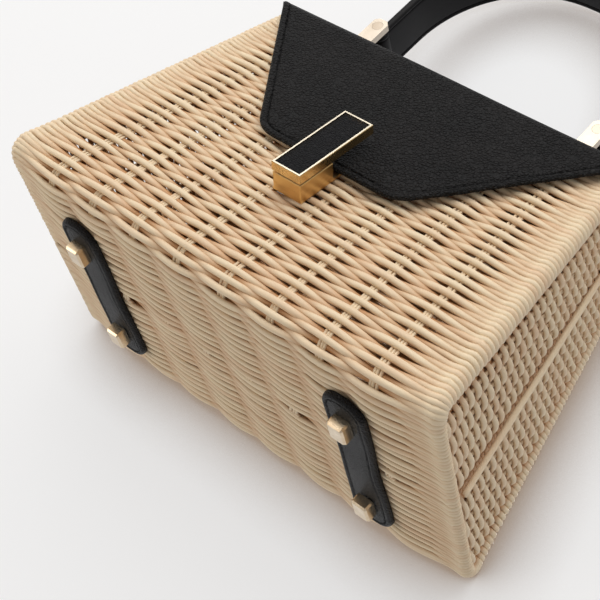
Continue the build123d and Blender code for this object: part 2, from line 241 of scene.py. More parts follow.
# The woven body: peeled round canes laid in rows over groups of thin upright stakes. Each half
# is woven from the middle of the base, round the front or back bend and up to the rim, and every
# row is wrapped round a stout pole that runs along the side edges. The side walls are woven last.
BASE_HALF_W = 0.140
TOP_HALF_W = 0.1125
BASE_HALF_D = 0.081
TOP_HALF_D = 0.042
MIDDLE_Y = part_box("basket_front")[1].y
FLOOR_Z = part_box("basket_front")[0].z
BODY_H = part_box("rim_hoop")[1].z - FLOOR_Z
SIDE_LEAN = math.atan2(BASE_HALF_W - TOP_HALF_W, BODY_H)
sin_side = math.sin(SIDE_LEAN)
cos_side = math.cos(SIDE_LEAN)
BEND_R = 0.013
POLE_WRAP_R = 0.0062
CANE_R = 0.00168
STAKE_R = 0.00085
WAVE = 0.0017
STAKE_GROUPS = 8
SIDE_STAKES = 4
SIDE_CANE_R = 0.00143
EDGE_RISE = 0.0052
RIM_BAND = 0.0065
random = np.random.default_rng(7)


def half_width(level):
    return BASE_HALF_W - (BASE_HALF_W - TOP_HALF_W) * level / BODY_H


def half_depth(level):
    return BASE_HALF_D - (BASE_HALF_D - TOP_HALF_D) * level / BODY_H


BASE_FLAT = half_depth(BEND_R) - BEND_R / cos_lean
BEND_TURN = math.pi / 2 + FRONT_LEAN
BEND_LENGTH = BEND_R * BEND_TURN
PANEL_START = BASE_FLAT + BEND_LENGTH
PANEL_LOW = BEND_R + BEND_R * sin_lean
PROFILE_END = PANEL_START + (BODY_H - RIM_BAND - PANEL_LOW) / cos_lean


def wall_profile(run):
    """Depth, level and outward direction of the wall, at a run from the middle of the base."""
    run = np.asarray(run, float)
    turn = np.clip((run - BASE_FLAT) / BEND_R, 0, BEND_TURN)
    out = np.stack([np.sin(turn), -np.cos(turn)], -1)
    depth = np.minimum(run, BASE_FLAT) + BEND_R * np.sin(turn)
    level = BEND_R * (1 - np.cos(turn))
    climb = np.maximum(run - PANEL_START, 0)
    depth = depth - climb * sin_lean
    level = level + climb * cos_lean
    return depth, level, out


def smooth_knots(x, knots, values):
    """Values at knots joined by half waves."""
    knots = np.asarray(knots, float)
    values = np.asarray(values, float)
    span = np.clip(np.searchsorted(knots, x) - 1, 0, len(knots) - 2)
    share = np.clip((x - knots[span]) / (knots[span + 1] - knots[span]), 0, 1)
    share = (1 - np.cos(math.pi * share)) / 2
    return values[span] * (1 - share) + values[span + 1] * share


def unit(rows):
    """Each direction in a list made one long."""
    return rows / np.linalg.norm(rows, axis=-1)[..., None]


def run_along(line):
    """How far along a line each of its points lies."""
    return np.concatenate([[0], np.cumsum(np.linalg.norm(np.diff(line, axis=0), axis=1))])


def at_run(places, run, line):
    """The points of a line, or the directions given along it, at some places of its run."""
    return np.stack([np.interp(places, run, line[:, k]) for k in range(line.shape[1])], -1)


class Strands:
    """Many round canes or threads in one mesh, each with its own tone and its fibres' run."""

    def __init__(self, name, around):
        self.name = name
        self.around = around
        self.points = []
        self.faces = []
        self.tone = []
        self.sunk = []
        self.fibre = []
        self.count = 0

    def lay(self, path, out, radius, sunk, tone):
        """A strand along path. out points away from the wall, sunk is how deep it lies, 0 to 1, which the
        cane's finish paints as brown shade.
        """
        path = np.asarray(path, float)
        steps = len(path)
        ahead = unit(np.gradient(path, axis=0))
        up = unit(out - ahead * np.sum(out * ahead, axis=1)[:, None])
        beside = np.cross(ahead, up)
        radius = np.broadcast_to(radius, (steps,))
        sunk = np.broadcast_to(sunk, (steps,))
        angle = 2 * math.pi * np.arange(self.around) / self.around
        ring = np.cos(angle)[None, :, None] * up[:, None]
        ring = ring + np.sin(angle)[None, :, None] * beside[:, None]
        body = path[:, None] + ring * radius[:, None, None]
        low_end = path[0] - ahead[0] * radius[0] * 0.4
        high_end = path[-1] + ahead[-1] * radius[-1] * 0.4
        first = self.count
        index = first + np.arange(steps * self.around).reshape(steps, self.around)
        after = np.roll(index, -1, axis=1)
        quads = np.stack([index[:-1], index[1:], after[1:], after[:-1]], -1).reshape(-1, 4)
        self.faces.extend(quads.tolist())
        cap = first + steps * self.around
        for k in range(self.around):
            following = (k + 1) % self.around
            self.faces.append([cap, int(index[0, k]), int(index[0, following])])
            self.faces.append([cap + 1, int(index[-1, following]), int(index[-1, k])])
        self.points.append(body.reshape(-1, 3))
        self.points.append(np.stack([low_end, high_end]))
        along = run_along(path)
        start = tone * 7.0
        fibre = np.zeros((steps, self.around, 3))
        fibre[:, :, 0] = along[:, None] + start
        fibre[:, :, 1] = np.cos(angle)[None] * radius[:, None] + start
        fibre[:, :, 2] = np.sin(angle)[None] * radius[:, None]
        self.fibre.append(fibre.reshape(-1, 3))
        self.fibre.append(np.array([[start, start, 0], [start + along[-1], start, 0]]))
        # Painted shade: the side of the strand that faces into the wall counts as lying deeper, and so do
        # its end caps.
        inner_side_shade = (np.cos(angle)[None] - 1) / 2 * -0.25
        self.sunk.append(np.clip(sunk[:, None] + inner_side_shade, 0, 1).ravel())
        self.sunk.append(np.array([1.0, 1.0]))
        total = steps * self.around + 2
        self.tone.append(np.full(total, tone))
        self.count += total

    def piece(self, material):
        mesh = bpy.data.meshes.new(self.name)
        mesh.from_pydata(np.concatenate(self.points), [], self.faces)
        mesh.shade_smooth()
        for label, values in (("tone", self.tone), ("sunk", self.sunk)):
            data = mesh.attributes.new(label, "FLOAT", "POINT").data
            data.foreach_set("value", np.concatenate(values).astype(np.float32))
        data = mesh.attributes.new("fibre", "FLOAT_VECTOR", "POINT").data
        data.foreach_set("vector", np.concatenate(self.fibre).astype(np.float32).ravel())
        mesh.materials.append(material)
        made = bpy.data.objects.new(self.name, mesh)
        scene.collection.objects.link(made)
        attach(made, "bag")
        return made


CREAM = (0.80, 0.65, 0.45, 1)
PEACH = (0.75, 0.535, 0.35, 1)
STRAW = (0.83, 0.70, 0.52, 1)
PAINTED_SHADE_BROWN = (0.50, 0.24, 0.09, 1)


def peeled_cane():
    """Cream with peach and straw streaks along the cane's fibres, and brown painted shade where it dives in.
    """
    look = {"roughness": 0.52, "specular_ior_level": 0.35}
    material, start, sockets = finish("peeled_cane", CREAM[:3], **look)
    tone = start.carried("tone", 2)
    sunk = start.carried("sunk", 2)
    fibre = start.carried("fibre", 1)
    streak = start.noise(fibre.scaled((60.0, 2500.0, 2500.0)), 1.0, 3.0, 0.6)
    drift = start.noise(fibre.scaled((25.0, 90.0, 90.0)), 1.0)
    warm = ((drift - 0.42) * 2.2 + (tone - 0.5) * 0.7).clamped()
    colour = warm.blend(CREAM, PEACH)
    colour = ((streak - 0.45) * 1.4).clamped().blend(colour, STRAW)
    # Painted shade: the deeper a cane lies, the more it is blended towards brown.
    colour = ((sunk - 0.25) * 1.25).clamped().blend(colour, PAINTED_SHADE_BROWN)
    feed(colour, sockets["Base Color"])
    feed(streak * 0.25 + 0.38, sockets["Roughness"])
    feed(start.bump(streak, 0.25, 0.0002), sockets["Normal"])
    return material


cane_look = peeled_cane()
FIRST_ROW = 0.0016
BASE_PITCH = 0.0027
PANEL_PITCH = 0.00288
BEND_PITCH = 0.0034


def row_places():
    """Runs of the rows from the middle of the base to the rim: dense below, loose round the bend."""
    bend = [BASE_FLAT - 0.012, BASE_FLAT + 0.006, PANEL_START + 0.02, PANEL_START + 0.05]
    places = []
    run = FIRST_ROW
    while run < PROFILE_END:
        places.append(run)
        loose = np.interp(run, bend, [0, 1, 1, 0])
        dense = BASE_PITCH if run < BASE_FLAT else PANEL_PITCH
        run += dense + (BEND_PITCH - dense) * loose
    return places


def stake_places(level):
    """Where the groups of stakes stand across the wall at a level, evenly between the edge poles."""
    gaps = 2 * np.arange(STAKE_GROUPS) - STAKE_GROUPS + 1
    return gaps / (STAKE_GROUPS + 1) * (half_width(level) - POLE_WRAP_R)


def slow_noise(x, seeds, scale):
    """A gentle wander along a row, the sum of three waves."""
    total = np.zeros_like(x)
    for k, seed in enumerate(seeds):
        total += np.sin(x / scale * (1 + 0.7 * k) + seed) / (1 + k)
    return total


RISE_FROM = 0.092
RISE_OVER = 0.048
RISE_HEIGHT = 0.034


def settled(path):
    """The weave's line once the ends of the base have pulled up a little towards the side walls."""
    end = np.clip((abs(path[:, 0]) - RISE_FROM) / RISE_OVER, 0, 1) ** 2
    low = np.clip(1 - (path[:, 2] - FLOOR_Z) / RISE_HEIGHT, 0, 1) ** 1.5
    path[:, 2] += EDGE_RISE * end * low
    return path


def wall_out(sign, out):
    """Outward directions of the front or back wall, from those of its profile."""
    return np.stack([np.zeros(len(out)), sign * out[:, 0], out[:, 1]], -1)


def side_out(hand):
    """The outward direction of a side wall."""
    return np.array([hand * cos_side, 0, sin_side])


MID_DEPTH = CANE_R + WAVE
ROW_STEP = 0.0034
EDGE_DIP = 0.0055
BASE_THIN = 0.84
WRAP_BASE = 0.0042
WRAP_PANEL = 0.0058
WRAP_TURN = np.linspace(0, math.radians(205), 13)[1:]


def weave_rows(name, sign):
    """The rows of one half, each wrapped round the poles in both of its side edges."""
    rows = Strands(f"{name}_rows", 8)
    shared = random.uniform(0, 6, 3)
    for number, run in enumerate(row_places()):
        depth, level, out = wall_profile(run)
        bend = [BASE_FLAT - 0.01, PANEL_START + 0.01]
        wrap = float(np.interp(run, bend, [WRAP_BASE, WRAP_PANEL]))
        pole_level = level - wrap * out[1]
        reach = half_width(pole_level) - wrap / cos_side
        x = np.linspace(-reach, reach, int(2 * reach / ROW_STEP))
        inside = [1 if (number + k) % 2 else -1 for k in range(STAKE_GROUPS)]
        dip = reach - EDGE_DIP
        knots = [-reach, -dip, *stake_places(level), dip, reach]
        side = smooth_knots(x, knots, [-1, -0.2, *inside, -0.2, -1])
        own = random.uniform(0, 6, 3)
        sunk = MID_DEPTH + WAVE * side * (1 + 0.10 * slow_noise(x, own, 0.05))
        thin = np.interp(run, [BASE_FLAT - 0.012, BASE_FLAT + 0.006], [BASE_THIN, 1.0])
        loose = 1.5 - 0.5 * (thin - BASE_THIN) / 0.16
        wander = 0.0007 * slow_noise(x + 0.1 * run, shared, 0.045)
        drift = loose * (wander + 0.0003 * slow_noise(x, own, 0.02))
        radius = CANE_R * thin * random.uniform(0.92, 1.07)
        tone = random.uniform(0, 1)
        here, high, away = wall_profile(run + drift)
        level_in = high - sunk * away[:, 1]
        depth_in = here - sunk * away[:, 0]
        middle = np.stack([x, sign * depth_in, level_in], -1)
        pole = np.array([reach, sign * (depth - wrap * out[0]), pole_level])
        up = np.array([0, sign * out[0], out[1]])
        arc_out = np.cos(WRAP_TURN)[:, None] * up + np.sin(WRAP_TURN)[:, None] * np.array([1.0, 0, 0])
        arc = pole + arc_out * (wrap - CANE_R)
        flip = np.array([-1.0, 1, 1])
        path = np.concatenate([(arc * flip)[::-1], middle, arc])
        outward = np.concatenate([(arc_out * flip)[::-1], wall_out(sign, away), arc_out])
        # Painted shade for the cane's finish: a row is darker where it passes behind the stakes and where
        # its wraps turn behind the poles.
        painted_wrap_shade = np.clip((WRAP_TURN - 1.9) * 1.2, 0, 1)
        deep = np.concatenate([painted_wrap_shade[::-1], np.clip((side + 1) / 2, 0, 1), painted_wrap_shade])
        path[:, 1] += MIDDLE_Y
        path[:, 2] += FLOOR_Z
        rows.lay(settled(path), outward, radius, deep, tone)
    return rows.piece(cane_look)


SIDE_FIRST = 0.0086
SIDE_PITCH = 0.00285
SIDE_WAVE = 0.0018
JOINT_DIP = 0.0012


def side_spacing(depth):
    """How far apart the stakes of a side wall stand where its half is this deep."""
    return (depth - POLE_WRAP_R * 2) / (SIDE_STAKES + 0.55)


def weave_side_rows(name, sign):
    """The rows of one half's side walls, from the middle joint to the wrapped edges."""
    sides = Strands(f"{name}_side_rows", 8)
    for hand in (-1, 1):
        level = SIDE_FIRST
        number = 0
        while level < BODY_H - RIM_BAND:
            depth = half_depth(level)
            start = depth - POLE_WRAP_R * 1.45
            inside = [1 if (number + k) % 2 else -1 for k in range(1, SIDE_STAKES + 1)]
            knots = [0.0, *(side_spacing(depth) * np.arange(1, SIDE_STAKES + 1)), start]
            y = np.linspace(0.0008, start, max(int(start / 0.0021), 12))
            side = smooth_knots(y, knots, [0.6, *inside, 1.4])
            own = random.uniform(0, 6, 3)
            sunk = SIDE_CANE_R + SIDE_WAVE + SIDE_WAVE * side + JOINT_DIP * np.exp(-((y / 0.006) ** 2))
            lift = 0.0002 * slow_noise(y, own, 0.012)
            x = half_width(level + lift) - sunk * cos_side
            z = level + lift - sunk * sin_side
            path = np.stack([hand * x, sign * y + MIDDLE_Y, z + FLOOR_Z], -1)
            radius = SIDE_CANE_R * random.uniform(0.9, 1.06)
            # Painted shade for the cane's finish: a side row is darker where it passes behind the stakes.
            deep = np.clip((side + 1) / 2, 0, 1)
            sides.lay(settled(path), side_out(hand), radius, deep, random.uniform(0, 1))
            level += SIDE_PITCH
            number += 1
    return sides.piece(cane_look)


def weave_stakes(name, sign):
    """The thin stakes that the rows go over and under, and the poles in the side edges."""
    stakes = Strands(f"{name}_stakes", 7)
    upright = np.arange(0.006, PROFILE_END, 0.004)
    run = np.concatenate([[0.0004, 0.0016, 0.0035], upright, [PROFILE_END + 0.003]])
    depth, level, out = wall_profile(run)
    outward = wall_out(sign, out)
    sunk = np.interp(run, [0, 0.0018, 0.006], [0.0012, 0.0018, MID_DEPTH])
    groups = np.array([stake_places(each) for each in level])
    for group in range(STAKE_GROUPS):
        for beside in (-1, 0, 1):
            x = groups[:, group] + beside * STAKE_R * 1.85
            x = x + 0.0003 * slow_noise(run, random.uniform(0, 6, 3), 0.03)
            y = sign * (depth - sunk * out[:, 0]) + MIDDLE_Y
            z = level - sunk * out[:, 1] + FLOOR_Z
            tone = random.uniform(0, 0.6)
            path = settled(np.stack([x, y, z], -1))
            # Painted shade: the stakes are tinted a little brown, as lying behind the rows.
            stakes.lay(path, outward, STAKE_R, 0.28, tone)
    for hand in (-1, 1):
        pole_level = level - POLE_WRAP_R * out[:, 1]
        x = hand * (half_width(pole_level) - POLE_WRAP_R / cos_side)
        y = sign * (depth - POLE_WRAP_R * out[:, 0]) + MIDDLE_Y
        pole = settled(np.stack([x, y, pole_level + FLOOR_Z], -1))
        # Painted shade: the pole is tinted brown, as lying under its wraps.
        stakes.lay(pole, outward, POLE_WRAP_R - 2 * CANE_R, 0.6, 0.5)
        climb = np.arange(0.009, BODY_H - 0.003, 0.006)
        for k in range(1, SIDE_STAKES + 1):
            for beside in (-0.5, 0.5):
                depth_in = k * side_spacing(half_depth(climb)) + beside * STAKE_R * 1.9
                x = half_width(climb) - MID_DEPTH * cos_side
                path = settled(np.stack([hand * x, sign * depth_in + MIDDLE_Y, climb + FLOOR_Z], -1))
                tone = random.uniform(0, 0.6)
                stakes.lay(path, side_out(hand), STAKE_R, 0.35, tone)
    return stakes.piece(cane_look)


def weave_half(name, sign):
    """One half of the basket: rows and edge wraps, its half of both side walls, and the stakes."""
    pieces = [weave(name, sign) for weave in (weave_rows, weave_side_rows, weave_stakes)]
    return pieces[0]


front_rows = weave_half("front", -1)
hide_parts("basket_front")
back_rows = weave_half("back", 1)
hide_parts("basket_back")

# The side rods: one straight thicker cane over the joint of the two halves in each side wall. It
# hides the ends of both halves' rows and wanders a little, as a peeled cane does.
ROD_R = 0.00165
ROD_SUNK = 0.0009
for hand, name in ((-1, "left"), (1, "right")):
    low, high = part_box(f"side_rod_{name}")
    rods = Strands(f"side_rod_{name}_cane", 12)
    climb = np.linspace(low.z - 0.003, high.z + 0.001, 60)
    wander = 0.0002 * slow_noise(climb, (0.4, 2.2, 4.0), 0.014)
    x = hand * (half_width(climb - FLOOR_Z) - ROD_SUNK)
    path = np.stack([x, MIDDLE_Y + wander, climb], -1)
    thick = ROD_R * (1 + 0.04 * slow_noise(climb, (1.0, 3.0, 5.0), 0.01))
    rods.lay(path, side_out(hand), thick, 0.0, 0.35)
    rod = rods.piece(cane_look)
    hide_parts(f"side_rod_{name}")


# The rim: an inner and an outer hoop cane over the ends of the stakes, bound round and round
# with a split cane. The flap covers it in front, on top and behind.
BINDING_IN = 0.0034
HOOP_DROP = 0.0033
HOOP_R = 0.0012
BINDING_OUT = 0.0021
BINDING_R = 0.0011
WRAP_PITCH = 0.0034
RIM_CORNER = 0.011


def rim_path(inset, drop, steps):
    """A closed line round the rim, pulled in by inset from the outer faces."""
    level = BODY_H - drop
    half_x = half_width(level) - inset
    half_y = half_depth(level) - inset
    corner = RIM_CORNER - inset
    angle = np.linspace(0, 2 * math.pi, steps, endpoint=False)
    x = np.sign(np.cos(angle)) * (half_x - corner) + corner * np.cos(angle)
    y = np.sign(np.sin(angle)) * (half_y - corner) + corner * np.sin(angle)
    line = np.stack([x, y + MIDDLE_Y, np.full(steps, level + FLOOR_Z)], -1)
    line = np.concatenate([line, line[:1]])
    run = run_along(line)
    even = np.linspace(0, run[-1], steps)
    return at_run(even, run, line), even


rim = Strands("rim_binding", 8)
rim_line, rim_run = rim_path(BINDING_IN, HOOP_DROP, 3600)
rim_out = np.cross(unit(np.gradient(rim_line, axis=0)), [0, 0, 1.0])
wrap_turn = rim_run / WRAP_PITCH * 2 * math.pi
wrap_out = np.cos(wrap_turn)[:, None] * rim_out + np.sin(wrap_turn)[:, None] * np.array([0, 0, 1.0])
rim.lay(rim_line + wrap_out * BINDING_OUT, wrap_out, BINDING_R, 0.0, 0.4)
for inset, tone in ((0.0022, 0.3), (0.0046, 0.6)):
    hoop, _ = rim_path(inset, HOOP_DROP, 400)
    # Painted shade: the hoops are tinted a little brown, as lying under the binding.
    rim.lay(hoop, np.array([0, 0, 1.0]), HOOP_R, 0.3, tone)
rim_piece = rim.piece(cane_look)
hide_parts("rim_hoop")


# The flap: one sheet of pebbled hide that starts behind the bag, folds over the top and ends in a
# pointed front with round corners. Its edge is turned, sewn all round and finished smooth.
LEATHER_T = 0.0022
FLAP_OUT = 0.0048
FLAP_TIP_UP = 0.091
FLAP_TIP_HALF = 0.044
FLAP_TIP_R = 0.020
FLAP_FOLD_R = 0.008
FLAP_HALF_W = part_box("lid_leather")[1].x
LID_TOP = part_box("lid_leather")[1].z
TAB_LOW = 0.0355
TAB_R = 0.008
SEAM_IN = 0.0040
EDGE_ROUND = 0.0011
SLANT = BODY_H / cos_lean


def rounded_line(corners, radius, spacing=0.0004):
    """Points and outward sides of a line in the Y-Z plane whose inner corners are rounded."""
    corners = [np.array(c, float) for c in corners]
    places = [corners[0]]
    sides = []
    for before, corner, after in zip(corners, corners[1:], corners[2:]):
        first = (corner - before) / np.linalg.norm(corner - before)
        last = (after - corner) / np.linalg.norm(after - corner)
        turn = math.acos(float(first @ last))
        reach = radius * math.tan(turn / 2)
        normal = np.array([-first[1], first[0]])
        begin = corner - first * reach
        centre = begin - normal * radius
        count = max(int(np.linalg.norm(begin - places[-1]) / spacing), 2)
        straight = np.linspace(places[-1], begin, count)
        places.extend(straight[1:])
        sides.extend([normal] * (len(straight) - (0 if not sides else 1)))
        for step in np.linspace(0, turn, 24)[1:]:
            side = normal * math.cos(step) + first * math.sin(step)
            places.append(centre + side * radius)
            sides.append(side)
    count = int(np.linalg.norm(corners[-1] - places[-1]) / spacing)
    places.extend(np.linspace(places[-1], corners[-1], count)[1:])
    sides.extend([sides[-1]] * (count - 1))
    places = np.array(places)
    return run_along(places), places, np.array(sides)




def front_point(up, out):
    """Depth and height of a place on the front panel, up its slope and out of it."""
    return (
        MIDDLE_Y - BASE_HALF_D + up * sin_lean - out * cos_lean,
        FLOOR_Z + up * cos_lean + out * sin_lean,
    )


tip_place = front_point(FLAP_TIP_UP, FLAP_OUT)
fold_up = (LID_TOP - tip_place[1]) / cos_lean
front_fold = (tip_place[0] + fold_up * sin_lean, LID_TOP)
back_fold = (2 * MIDDLE_Y - front_fold[0], LID_TOP)
back_end = (back_fold[0] + TAB_LOW * math.tan(FRONT_LEAN), LID_TOP - TAB_LOW)
flap_run, flap_line, flap_side = rounded_line([tip_place, front_fold, back_fold, back_end], FLAP_FOLD_R)


def flap_half_width(run):
    """Half the flap's width at a run from its tip."""
    tip_turn = math.atan2(SLANT - FLAP_TIP_UP, FLAP_HALF_W - FLAP_TIP_HALF)
    flat = FLAP_TIP_HALF - FLAP_TIP_R * math.tan(tip_turn / 2)
    grow = (FLAP_HALF_W - FLAP_TIP_HALF) / (SLANT - FLAP_TIP_UP)
    width = np.minimum(FLAP_TIP_HALF + run * grow, FLAP_HALF_W)
    round_end = FLAP_TIP_R * (1 - math.cos(tip_turn))
    near = np.clip(run, 0, round_end)
    width = np.where(run < round_end, flat + np.sqrt(near * (2 * FLAP_TIP_R - near)), width)
    left = np.clip(flap_run[-1] - run, 0, TAB_R)
    return width - TAB_R + np.sqrt(left * (2 * TAB_R - left))


def on_flap(x, run, lift):
    """A place on the flap: across, along it from its tip, and above its outer face."""
    y, z = at_run(run, flap_run, flap_line).T
    side = unit(at_run(run, flap_run, flap_side))
    return np.stack([x + 0 * y, y + lift * side[:, 0], z + lift * side[:, 1]], -1), side


# Distances from a sewn edge at which its section changes: the roll, the border and the seam's dip.
NEAR_EDGE = np.array([0, 0.12, 0.35, 0.7, 1.1, 1.7, 2.4, 3.0, 3.45, 3.7, 3.95, 4.2, 4.5, 5.0, 6.0]) / 1000
tip_steps = FLAP_TIP_R * (1 - np.cos(np.radians(np.arange(0, 54, 3.5))))
tab_steps = TAB_R * (1 - np.cos(np.radians(np.arange(0, 90, 8))))
end_steps = flap_run[-1] - np.concatenate([NEAR_EDGE, tab_steps])
plain_steps = np.arange(0.008, flap_run[-1] - 0.008, 0.0016)
flap_rows = np.concatenate([NEAR_EDGE, tip_steps, plain_steps, end_steps])
flap_rows = np.unique(flap_rows.round(6))
flap_rows = flap_rows[np.concatenate([[True], np.diff(flap_rows) > 0.00007])]
near_tip = np.arange(0, 0.012, 0.0002)
near_end = flap_run[-1] - np.arange(0, TAB_R + 0.0002, 0.0002)[::-1]
edge_run = np.concatenate([near_tip, np.arange(0.012, near_end[0] - 0.001, 0.002), near_end])
right_edge = np.stack([flap_half_width(edge_run), edge_run], -1)
flap_outline = np.concatenate([right_edge, right_edge[::-1] * [-1, 1], right_edge[:1]])


def gap_to(outline, points):
    """Each point's distance from a closed line of straight steps."""
    step = np.diff(outline, axis=0)
    size = (step**2).sum(axis=1) + 1e-18
    toward = points[:, None, :] - outline[None, :-1]
    share = np.clip((toward * step[None]).sum(axis=-1) / size, 0, 1)
    return np.linalg.norm(toward - share[..., None] * step[None], axis=-1).min(axis=1)


def sewn_edge(inward, seam, radius, puff, dip, dip_half):
    """Heights by the distance from a sewn edge: its roll, the swelling inside it and the seam's dip."""
    part = np.clip(1 - inward / radius, 0, 1)
    roll = -radius * (1 - np.sqrt(1 - part**2))
    border = puff * np.sin(math.pi * np.clip(inward / seam, 0, 1))
    groove = -dip * np.exp(-(((inward - seam) / dip_half) ** 2))
    return roll, border, groove


WELD_WITHIN = 0.000002


def welded(name, points, faces, material, body="bag"):
    """A smooth mesh with doubled points welded, riding on a body."""
    mesh = bpy.data.meshes.new(name)
    mesh.from_pydata(points, [], faces)
    shape = bmesh.new()
    shape.from_mesh(mesh)
    bmesh.ops.remove_doubles(shape, verts=shape.verts, dist=WELD_WITHIN)
    bmesh.ops.dissolve_degenerate(shape, edges=shape.edges, dist=WELD_WITHIN)
    bmesh.ops.recalc_face_normals(shape, faces=shape.faces)
    shape.to_mesh(mesh)
    shape.free()
    mesh.shade_smooth()
    mesh.materials.append(material)
    made = bpy.data.objects.new(name, mesh)
    scene.collection.objects.link(made)
    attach(made, body)
    return made


def loops_to_faces(rows, around, start=0):
    """Quads between closed loops of points laid one after the other."""
    index = start + np.arange(rows * around).reshape(rows, around)
    after = np.roll(index, -1, axis=1)
    return np.stack([index[:-1], after[:-1], after[1:], index[1:]], -1).reshape(-1, 4).tolist()


FLAT_FROM = 0.0075
flap_points = []
for run in flap_rows:
    half = float(flap_half_width(run))
    inner = np.linspace(-(half - FLAT_FROM), half - FLAT_FROM, 46)
    across = np.concatenate([-half + NEAR_EDGE, inner, (half - NEAR_EDGE)[::-1]])
    here = np.full(len(across), run)
    inward = gap_to(flap_outline, np.stack([across, here], -1))
    roll, border, groove = sewn_edge(inward, SEAM_IN, EDGE_ROUND, 0.00016, 0.00062, 0.00042)
    sway = 0.00025 * np.sin(across * 41 + run * 60) * np.sin(run * 50 + 1.0)
    outer = on_flap(across, here, roll + border + groove + sway)[0]
    under_lift = -LEATHER_T - roll + sway
    under = on_flap(across[1:-1][::-1], here[1:-1], under_lift[1:-1][::-1])[0]
    flap_points.append(np.concatenate([outer, under]))
flap_faces = loops_to_faces(len(flap_rows), len(flap_points[0]))


def leather(name, dark, pale_end, grain, depth, rough):
    """Black hide: closed pebbles with fine pores between, painted a little paler on the crowns as a sheen.
    """
    material, start, sockets = finish(name, dark[:3], roughness=rough, specular_ior_level=0.17)
    place = start.on_piece()
    bent = start.noise(place, grain * 0.6, 2.0)
    bent_colour = Wire(start.tree, bent.socket.node.outputs[1])
    moved = {"Vector": bent_colour, "Vector_001": (0.0009,) * 3, "Vector_002": place}
    shifted = start.node("ShaderNodeVectorMath", {"operation": "MULTIPLY_ADD"}, moved)
    pebble = {"Vector": shifted, "Scale": grain, "Smoothness": 0.35}
    cells = start.node("ShaderNodeTexVoronoi", {"feature": "SMOOTH_F1"}, pebble)
    border = {"Vector": shifted, "Scale": grain}
    crease = start.node("ShaderNodeTexVoronoi", {"feature": "DISTANCE_TO_EDGE"}, border)
    fine = start.noise(place, grain * 5.0, 3.0)
    cloud = start.noise(place, 45.0, 3.0)
    crown = (1.0 - cells * 1.3).clamped()
    height = crown * 0.7 + (crease * 3.0).clamped() * 0.5 + fine * 0.12
    # Painted sheen on the pebble crowns, over random clouds of tone.
    sheen_and_tone = (crown * 0.5 + (cloud - 0.5) * 0.9).clamped()
    feed(sheen_and_tone.blend(dark, pale_end), sockets["Base Color"])
    feed(fine * 0.16 + cloud * 0.12 + (rough - 0.14), sockets["Roughness"])
    feed(start.bump(height, depth, 0.0010), sockets["Normal"])
    return material


FLAP_DARK = (0.0016, 0.0014, 0.0015, 1)
FLAP_SHEEN_AND_TONE = (0.019, 0.0165, 0.016, 1)
flap_look = leather("pebbled_hide", FLAP_DARK, FLAP_SHEEN_AND_TONE, 560.0, 1.0, 0.44)
flap = welded("flap", np.concatenate(flap_points), flap_faces, flap_look)
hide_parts("lid_leather")


def waxed_thread(name, colour):
    """Thread with its twist showing, its raised bands painted paler as a highlight."""
    material, start, sockets = finish(name, colour, roughness=0.55, specular_ior_level=0.1)
    turns = {"Vector": start.carried("fibre", 1), "Scale": 900.0, "Distortion": 1.0}
    twist = start.node("ShaderNodeTexWave", {}, turns)
    # Painted highlight: the twist's raised bands take the paler colour.
    pale = tuple(c * 1.8 for c in colour)
    feed(twist.blend((*colour, 1), (*pale, 1)), sockets["Base Color"])
    feed(start.bump(twist, 0.5, 0.0001), sockets["Normal"])
    return material


STITCH_PITCH = 0.0036
STITCH_LENGTH = 0.0027
THREAD_R = 0.00027


def stitches(name, line, out, material):
    """A row of separate stitches along a line that already lies on the leather."""
    sewn = Strands(name, 6)
    run = run_along(line)
    share = np.linspace(0, 1, 6)
    lift = (np.sin(math.pi * share) - 0.75) * THREAD_R * 1.1
    for start_run in np.arange(STITCH_PITCH / 2, run[-1] - STITCH_PITCH, STITCH_PITCH):
        here = start_run + STITCH_LENGTH * share
        side = unit(at_run(here, run, out))
        path = at_run(here, run, line) + side * lift[:, None]
        sewn.lay(path, side, THREAD_R, 0.0, 0.5)
    return sewn.piece(material)


black_thread = waxed_thread("black_thread", (0.0022, 0.0022, 0.0024))


def inset_line(outline, inward):
    """A closed outline drawn again at a distance inside itself, even in its steps."""
    step = np.gradient(outline, axis=0)
    step /= np.linalg.norm(step, axis=1)[:, None] + 1e-12
    inner = outline + np.stack([-step[:, 1], step[:, 0]], -1) * inward
    inner = inner[gap_to(outline, inner) > inward * 0.985]
    inner = np.concatenate([inner, inner[:1]])
    run = run_along(inner)
    return at_run(np.arange(0, run[-1], 0.0008), run, inner)


sewn_line = inset_line(flap_outline, SEAM_IN)
THREAD_SUNK = 0.00045
thread_place, thread_side = on_flap(*sewn_line.T, -THREAD_SUNK)
thread_out = np.concatenate([np.zeros((len(thread_side), 1)), thread_side], axis=1)
flap_thread = stitches("flap_thread", thread_place, thread_out, black_thread)


# The lining: a thin smooth hide glued to the flap's underside, a little smaller than the flap, so
# that the flap's own turned edge shows all round it.
def smooth_hide(name, dark, pale_end, rough):
    """Plain black leather without pebbles: fine creases and soft clouds."""
    material, start, sockets = finish(name, dark[:3], roughness=rough, specular_ior_level=0.16)
    place = start.on_piece()
    fine = start.noise(place, 2600.0, 3.0, 0.6)
    cloud = start.noise(place, 60.0, 3.0)
    feed(cloud.blend(dark, pale_end), sockets["Base Color"])
    feed(cloud * 0.2 + fine * 0.12 + (rough - 0.16), sockets["Roughness"])
    feed(start.bump(fine + cloud * 0.4, 0.35, 0.0002), sockets["Normal"])
    return material


def dress(node, material):
    """Gives a CAD part its finish."""
    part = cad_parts[node]
    for place in range(len(part.material_slots)):
        part.material_slots[place].material = material


lining_look = smooth_hide("lining_hide", (0.012, 0.011, 0.011, 1), (0.022, 0.020, 0.020, 1), 0.62)
dress("lid_lining", lining_look)


